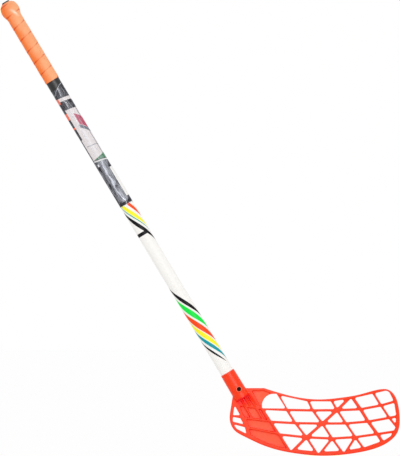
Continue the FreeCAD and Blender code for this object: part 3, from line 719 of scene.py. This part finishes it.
film = {
    "sides": 144,
    "rings": 100,
    "thickness": 0.00015,
    "creaseRoom": 0.0001,      # the sleeve is drawn this far inside the CAD one
    "slant": 0.0165,           # the upper edge drops this far from right to left
    "frontRise": 0.0035,
    "creaseDepth": 0.00016,
    "inLimit": -0.00009,
    "outLimit": 0.00007,
    "creasesRound": 2.3,
    "creasesAlong": 26.0,
    "twist": (0.4, 0.2, 0),
    "twistAlong": 2,
    "fineShare": 0.5,          # finer creases over the main ones
    "fineRound": 2,
    "fineAlong": 1.6,
    "endFlare": 0.0003,
    "endSpan": 0.006,
    "topEdge": 0.0011,
    "topMilk": 0.6,
    "lowEdge": 0.0008,
    "lowMilk": 0.35,
    "hazeHighlightColour": paint(232, 238, 246),
    # turn, width and strength of the creases' milk-white haze, which is partly a painted highlight
    "creases": [
        (-0.06, 0.07, 0.3), (0.52, 0.05, 0.3), (1.8, 0.06, 0.35), (-2.3, 0.07, 0.35), (2.6, 0.06, 0.3),
    ],
    "clearColour": (0.98, 0.98, 0.99, 1),
    "roughness": 0.13,
    "specular": 1.0,
    "coat": 1.0,
    "coatRoughness": 0.1,
    "grain": 180.0,
    "mottle": 60.0,
    "bump": 0.0002,
}


def filmCut():        # height of the slanted upper edge at the shaft's axis
    return reach("clear_film")[1] - math.hypot(film["slant"] / 2, film["frontRise"])


def drawFilm():
    low, high = reach("clear_film")
    radius = girth("clear_film") - film["creaseRoom"]
    bpy.ops.object.select_all(action="DESELECT")
    bpy.ops.mesh.primitive_cylinder_add(vertices=film["sides"], radius=radius, depth=high - low,
                                        end_fill_type="NOTHING", location=(0, 0, (low + high) / 2))
    sleeve = bpy.context.object
    sleeve.name = "filmSleeve"
    bpy.ops.object.transform_apply(location=True, rotation=True, scale=True)
    pickEdges(sleeve, lambda start, end: abs(start.z - end.z) > radius)
    bpy.ops.mesh.subdivide(number_cuts=film["rings"])
    bpy.ops.mesh.select_all(action="SELECT")
    slope = Vector((-film["slant"] / 2 / radius, film["frontRise"] / radius, 1)).normalized()
    bpy.ops.mesh.bisect(plane_co=(0, 0, filmCut()), plane_no=slope, clear_outer=True, threshold=cutThreshold)
    bpy.ops.object.mode_set(mode="OBJECT")
    creaseFilm(sleeve, low, radius)
    applyModifier(sleeve, "SOLIDIFY", thickness=film["thickness"], offset=0)
    seatOnShaft(sleeve, "stick", "film_clear", "clear_film")
    return sleeve


def creaseFilm(sleeve, low, radius):
    for vertex in sleeve.data.vertices:
        point = vertex.co
        around = Vector((point.x, point.y, 0)) / radius * film["creasesRound"]
        along = Vector((0, 0, point.z * film["creasesAlong"]))
        twist = Vector(film["twist"]) * noise.noise(along * film["twistAlong"])
        fine = noise.noise(around * film["fineRound"] + along * film["fineAlong"])
        fold = noise.noise(around + along + twist) + film["fineShare"] * fine
        depth = min(film["outLimit"], max(film["inLimit"], film["creaseDepth"] * fold))
        flare = film["endFlare"] * (1 - smoothStep(0, film["endSpan"], point.z - low))
        stretch = (radius + depth + flare) / radius
        point.x *= stretch
        point.y *= stretch


# thin glossy film: clear where it lies flat, with a milk-white haze along its creases and its cut edges that
# is partly a painted highlight
def filmFinish():
    coat = {"Coat Weight": film["coat"], "Coat Roughness": film["coatRoughness"],
            "Base Color": film["hazeHighlightColour"]}
    material, tree, shader, place = newMaterial("filmFinish", **gloss(film), **coat)
    spot = useGroup(tree, shaftPlace, Place=place)
    height, turn = spot["Height"], spot["Turn"]
    addBump(tree, shader, grainOf(tree, film, place)["Shade"], film["bump"])
    sideRise = calculate(tree, "MULTIPLY", film["slant"] / 2, calculate(tree, "SINE", turn))
    frontRise = calculate(tree, "MULTIPLY", film["frontRise"], calculate(tree, "COSINE", turn))
    rise = calculate(tree, "ADD", sideRise, frontRise)
    fromTop = calculate(tree, "SUBTRACT", calculate(tree, "ADD", rise, filmCut()), height)
    fromEnd = calculate(tree, "SUBTRACT", height, reach("clear_film")[0])
    hazeAndHighlight = calculate(tree, "MULTIPLY", closeTo(tree, fromTop, film["topEdge"]), film["topMilk"])
    hazeAndHighlight = calculate(tree, "MAXIMUM", hazeAndHighlight, calculate(
        tree, "MULTIPLY", closeTo(tree, fromEnd, film["lowEdge"]), film["lowMilk"]))
    hazeAndHighlight = addCreases(tree, height, turn, film["creases"], hazeAndHighlight)
    clear = addNode(tree, "BsdfTransparent", {"Color": film["clearColour"]})
    choice = addNode(tree, "MixShader", {0: hazeAndHighlight, 1: clear.outputs[0], 2: shader.outputs[0]})
    tree.links.new(choice.outputs[0], tree.nodes["Material Output"].inputs["Surface"])
    return material


filmSleeve = drawFilm()
filmSleeve.data.materials.append(filmFinish())
print("film drawn:", len(filmSleeve.data.polygons), "faces")


# blank paper sticker

blankLabel = {
    "deepColour": paint(240, 239, 236),
    "colour": paint(252, 251, 249),
    "roughness": 0.6,
    "specular": 0.5,
    "grain": 3000.0,
    "mottle": 80.0,
    "bump": 0.00003,
}

wear("blank_label", grainedFinish("labelFinish", blankLabel))


# shaft: white lacquer with two groups of slanting streaks

shaftPrint = {
    "lacquer": paint(254, 253, 249),
    "lacquerShade": paint(250, 248, 244),
    "slope": 0.0205,
    "backReach": 0.66,         # the same streaks on the back, a little shorter
    # height of the middle, turn of the middle, reach to each side, half width, colour
    "streaks": [
        (-0.3015, 0.7, 1.2, 0.0060, paint(255, 84, 30)),
        (-0.3060, -0.1, 2.0, 0.0066, paint(255, 250, 50)),
        (-0.3155, -0.1, 2.0, 0.0020, paint(30, 168, 146)),
        (-0.3305, -0.1, 2.1, 0.0066, paint(16, 13, 18)),
        (-0.4745, -0.1, 2.1, 0.0064, paint(16, 13, 18)),
        (-0.4955, -0.1, 2.3, 0.0092, paint(22, 236, 76)),
        (-0.5195, -0.1, 2.3, 0.0090, paint(255, 78, 26)),
        (-0.5385, -0.1, 2.3, 0.0080, paint(255, 250, 50)),
        (-0.5545, -0.1, 2.2, 0.0062, paint(26, 158, 168)),
        (-0.5673, -0.35, 1.3, 0.0038, paint(16, 13, 18)),
    ],
    # a plain dark block across the front
    "block": (-0.3428, -0.3490, -1.45, 0.85),
    "blockColour": paint(18, 15, 20),
    "roughness": 0.36,
    "specular": 0.12,
    "grain": 1400.0,
    "mottle": 40.0,
    "bump": 0.000005,
}


def shaftFinish():
    material, tree, shader, place = newMaterial("shaftFinish", **gloss(shaftPrint))
    spot = useGroup(tree, shaftPlace, Place=place)
    grain = grainOf(tree, shaftPrint, place)
    colour = layer(tree, grain["Shade"], shaftPrint["lacquerShade"], shaftPrint["lacquer"])
    for centre, middle, half, width, ink in shaftPrint["streaks"]:
        for side, share in ((math.pi, shaftPrint["backReach"]), (0, 1)):
            streak = useGroup(tree, taperedStreak, Height=spot["Height"], Turn=spot["Turn"], Centre=centre,
                              Middle=middle + side, Reach=half * share, Slope=shaftPrint["slope"],
                              Width=width)
            colour = layer(tree, streak["Mask"], colour, ink)
    top, bottom, left, right = shaftPrint["block"]
    block = useGroup(tree, printBand, Height=spot["Height"], Turn=spot["Turn"], Top=top, Bottom=bottom,
                     Slant=0.0, Left=left, Right=right)
    colour = layer(tree, block["Mask"], colour, shaftPrint["blockColour"])
    tree.links.new(colour, shader.inputs["Base Color"])
    addBump(tree, shader, grain["Height"], shaftPrint["bump"])
    return material


wear("shaft_tube", shaftFinish())
print("shaft printed")


# blade: the CAD form with the soft edges of a moulding

def middleAlong(name, way):        # half way between a CAD node's two ends in one direction
    places = [vertex.co.dot(way) for vertex in nodes[name].data.vertices]
    return way * (min(places) + max(places)) / 2


screwWay = Vector(frame["record"]["behaviour"]["joints"][0]["axis"]).normalized()
screwSide = screwWay.orthogonal().normalized()
screwMiddle = middleAlong("blade_screw", screwSide) + middleAlong("blade_screw", screwWay.cross(screwSide))
blade = {
    "merge": 0.000005,
    "voxel": 0.0005,
    "softening": 4,
    "softFactor": 0.5,
    # floor of the slots between the gussets: corners across and up, half its depth
    "slotFloor": [(0.3290, -0.5640), (0.3330, -0.5757), (0.3645, -0.5790), (0.3525, -0.5560)],
    "slotLevel": 0.0034,
    "mostTriangles": 190000,
    # painted shade in the blade's hollows and corners
    "hollowReach": 0.008,
    "openShare": 0.84,
    "hollowGain": 3.8,
    "hollowSamples": 8,
    "ridgeFrom": 0.51,         # painted highlight on the outer corners
    "ridgeGain": 6.0,
    "floorLevel": 0.0018,      # the thin floors lie this close to the blade's middle
    "floorFlat": 0.85,
    "heelEnd": 0.42,
    "ringRadius": 0.0043,
    "ringWidth": 0.0009,
    "ringFront": -0.005,
    "lipHeight": -0.6553,      # the neck ends here, and painted shade deepens the red in the corner below it
    "lipSpan": 0.015,
    "lipReach": 0.013,
    "lipFade": 0.0025,
    "lipGain": 1.6,
    "colour": paint(255, 54, 4),
    "paleColour": paint(255, 66, 10),
    "litColour": paint(255, 92, 56),
    "deepColour": paint(255, 30, 2),
    "lipShadeColour": paint(252, 10, 2),
    "floorColour": paint(255, 79, 36),
    "floorPale": paint(255, 103, 64),
    "ringColour": paint(255, 124, 96),
    "roughness": 0.3,
    "specular": 0.24,
    "grain": 900.0,
    "mottle": 28.0,
    "bump": 0.00002,
}
floorSpeckle = {"grain": 420.0, "mottle": 150.0}


def raiseSlotFloor():        # the slots run out shallow towards the first cross rib
    bpy.ops.object.select_all(action="DESELECT")
    bpy.ops.mesh.primitive_cube_add(size=2)
    block = bpy.context.object
    leftTop, leftFoot, rightFoot, rightTop = blade["slotFloor"]
    for vertex in block.data.vertices:
        upper, lower = (leftTop, leftFoot) if vertex.co.x < 0 else (rightTop, rightFoot)
        across, up = upper if vertex.co.z > 0 else lower
        vertex.co = (across, vertex.co.y * blade["slotLevel"], up)
    return block


def mouldBlade():
    moulding = bpy.data.objects.new("bladeMoulding", nodes["blade"].data.copy())
    bpy.context.collection.objects.link(moulding)
    moulding.data.materials.clear()
    pickOnly(moulding)
    mergeDoubles(blade["merge"])
    block = raiseSlotFloor()
    pickOnly(moulding)
    block.select_set(True)
    bpy.ops.object.join()
    applyModifier(moulding, "REMESH", mode="VOXEL", voxel_size=blade["voxel"], use_smooth_shade=True)
    applyModifier(moulding, "SMOOTH", factor=blade["softFactor"], iterations=blade["softening"])
    triangles = 2 * len(moulding.data.polygons)
    applyModifier(moulding, "DECIMATE", ratio=min(1, blade["mostTriangles"] / triangles))
    bpy.ops.object.shade_smooth()
    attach(moulding, "stick")
    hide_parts("blade")
    return moulding


def bladeFinish():
    material, tree, shader, place = newMaterial("bladeFinish", **gloss(blade))
    grain = grainOf(tree, blade, place)
    speckle = grainOf(tree, floorSpeckle, place)
    parts = addNode(tree, "SeparateXYZ", {0: place}).outputs
    shape = addNode(tree, "NewGeometry").outputs
    ridgeHighlight = calculate(tree, "MULTIPLY", calculate(tree, "SUBTRACT", shape["Pointiness"], blade["ridgeFrom"]),
                      blade["ridgeGain"], clamp=True)
    # painted shade where a point is closed in
    closed = addNode(tree, "AmbientOcclusion", {"Distance": blade["hollowReach"]},
                     samples=blade["hollowSamples"], only_local=True)
    shut = calculate(tree, "SUBTRACT", blade["openShare"], closed.outputs["AO"])
    hollowShade = calculate(tree, "MULTIPLY", shut, blade["hollowGain"], clamp=True)
    # the thin floors between the heel's ribs are paler and speckled
    facing = calculate(tree, "ABSOLUTE", addNode(tree, "SeparateXYZ", {0: shape["Normal"]}).outputs["Y"])
    level = calculate(tree, "GREATER_THAN", facing, blade["floorFlat"])
    sunk = calculate(tree, "LESS_THAN", calculate(tree, "ABSOLUTE", parts["Y"]), blade["floorLevel"])
    heel = calculate(tree, "LESS_THAN", parts["X"], blade["heelEnd"])
    floor = calculate(tree, "MULTIPLY", calculate(tree, "MULTIPLY", level, sunk), heel)
    # the raised ring that the screw's head sits in
    fromCentre = addNode(tree, "VectorMath", {0: place, 1: screwMiddle}, operation="SUBTRACT").outputs[0]
    sideways = addNode(tree, "VectorMath", {0: fromCentre, 1: screwWay}, operation="CROSS_PRODUCT").outputs[0]
    fromAxis = addNode(tree, "VectorMath", {0: sideways}, operation="LENGTH").outputs["Value"]
    fromRing = calculate(tree, "ABSOLUTE", calculate(tree, "SUBTRACT", fromAxis, blade["ringRadius"]))
    front = calculate(tree, "LESS_THAN", parts["Y"], blade["ringFront"])
    ring = calculate(tree, "MULTIPLY", closeTo(tree, fromRing, blade["ringWidth"]), front)
    # painted shade in the corner under the neck's lip
    along = addNode(tree, "VectorMath", {0: place, 1: shaftUp}, operation="DOT_PRODUCT").outputs["Value"]
    aside = addNode(tree, "VectorMath", {0: place, 1: shaftSide}, operation="DOT_PRODUCT").outputs["Value"]
    below = calculate(tree, "SUBTRACT", blade["lipHeight"], along)
    under = calculate(tree, "MULTIPLY", calculate(tree, "GREATER_THAN", below, 0.0),
                      closeTo(tree, below, blade["lipSpan"]))
    under = calculate(tree, "MULTIPLY", under, blade["lipGain"], clamp=True)
    within = pastEdge(tree, blade["lipReach"], calculate(tree, "ABSOLUTE", aside), blade["lipFade"])
    corner = calculate(tree, "MULTIPLY", under, within)
    colour = layer(tree, grain["Shade"], blade["colour"], blade["paleColour"])
    floorColour = layer(tree, speckle["Shade"], blade["floorColour"], blade["floorPale"])
    colour = layer(tree, floor, colour, floorColour)
    colour = layer(tree, ridgeHighlight, colour, blade["litColour"])
    colour = layer(tree, ring, colour, blade["ringColour"])
    colour = layer(tree, hollowShade, colour, blade["deepColour"])
    colour = layer(tree, corner, colour, blade["lipShadeColour"])
    tree.links.new(colour, shader.inputs["Base Color"])
    addBump(tree, shader, grain["Height"], blade["bump"])
    return material


bladeMoulding = mouldBlade()
bladeMoulding.data.materials.append(bladeFinish())
print("blade moulded:", len(bladeMoulding.data.polygons), "faces")


# screw: blackened steel, with a painted reflection of the red round it browning it

bladeScrew = {
    "deepColour": paint(28, 8, 7),
    "colour": paint(46, 16, 13),
    "roughness": 0.5,
    "specular": 0.06,
    "grain": 3000.0,
    "mottle": 500.0,
    "bump": 0.00003,
}

wear("blade_screw", grainedFinish("screwFinish", bladeScrew))
print("screw finished")


# camera square to the stick, far off with a long lens

shot = {
    "pictureWidth": 400,
    "pictureHeight": 456,
    "originPixel": (34.0, 49.95),       # where the grip mount shows in the picture
    "metresPerPixel": 0.00162,
    "distance": 8.0,
    "sensor": 36.0,
    "farEnd": 100,
}


def setCamera():
    across = (shot["pictureWidth"] / 2 - shot["originPixel"][0]) * shot["metresPerPixel"]
    up = (shot["originPixel"][1] - shot["pictureHeight"] / 2) * shot["metresPerPixel"]
    bpy.ops.object.camera_add(location=(across, -shot["distance"], up), rotation=(math.pi / 2, 0, 0))
    camera = bpy.context.object
    camera.data.sensor_width = shot["sensor"]
    camera.data.lens = shot["sensor"] * shot["distance"] / (shot["pictureHeight"] * shot["metresPerPixel"])
    camera.data.clip_end = shot["farEnd"]
    bpy.context.scene.camera = camera


# pale floor and world, white to the camera and plain light to the object

studio = {
    "floorSize": 14.0,
    "floorGap": 0.0005,
    "floorColour": paint(248, 248, 248),
    "floorRoughness": 0.9,
    "whiteShare": 0.95,
    "worldLight": 0.82,
    # place from the object's middle, width, height, power
    "keyLamp": ((0.8, -3.5, 0.9), 1.1, 1.7, 23.0),
    "glintPanel": ((1.3, -9.0, 0.9), 9.0, 5.2, 450.0),        # a wide panel that only shows in gloss
}


def seenWhite(tree):        # 1 where the camera, a gloss or a clear film looks at the backdrop
    path = addNode(tree, "LightPath").outputs
    seen = calculate(tree, "MAXIMUM", path["Is Camera Ray"], path["Is Glossy Ray"])
    return calculate(tree, "MAXIMUM", seen, path["Is Transmission Ray"])


def layFloor():
    bpy.ops.object.select_all(action="DESELECT")
    centre = (cadBox[0] + cadBox[1]) / 2
    level = cadBox[0].z - studio["floorGap"]
    bpy.ops.mesh.primitive_plane_add(size=studio["floorSize"], location=(centre.x, centre.y, level))
    floor = bpy.context.object
    floor.name = "floor"
    plain = {"Base Color": studio["floorColour"], "Roughness": studio["floorRoughness"]}
    material, tree, shader = newMaterial("floorFinish", **plain)[:3]
    glow = addNode(tree, "Emission", {"Color": (1, 1, 1, 1), "Strength": 1.0})
    share = calculate(tree, "MULTIPLY", seenWhite(tree), studio["whiteShare"])
    mixed = addNode(tree, "MixShader", {0: share, 1: shader.outputs[0], 2: glow.outputs[0]})
    tree.links.new(mixed.outputs[0], tree.nodes["Material Output"].inputs["Surface"])
    floor.data.materials.append(material)


def lightWorld():
    world = bpy.data.worlds.new("studioWorld")
    bpy.context.scene.world = world
    world.use_nodes = True
    tree = world.node_tree
    level = addNode(tree, "Mix", {0: seenWhite(tree), 2: studio["worldLight"], 3: 1.0}).outputs[0]
    tree.links.new(level, tree.nodes["Background"].inputs["Strength"])
    tree.nodes["Background"].inputs["Color"].default_value = (1, 1, 1, 1)


def hangLamp(name):
    offset, width, height, power = studio[name]
    centre = (cadBox[0] + cadBox[1]) / 2
    place = centre + Vector(offset)
    aim = (centre - place).to_track_quat("-Z", "Y").to_euler()
    bpy.ops.object.light_add(type="AREA", location=place, rotation=aim)
    lamp = bpy.context.object
    lamp.name = name
    lamp.data.shape = "RECTANGLE"
    lamp.data.size = width
    lamp.data.size_y = height
    lamp.data.energy = power
    return lamp


setCamera()
layFloor()
lightWorld()
hangLamp("keyLamp")
glintPanel = hangLamp("glintPanel")
glintPanel.visible_diffuse = False
glintPanel.visible_camera = False
bpy.context.scene.view_settings.view_transform = "Standard"
print("camera, floor and lamps set")
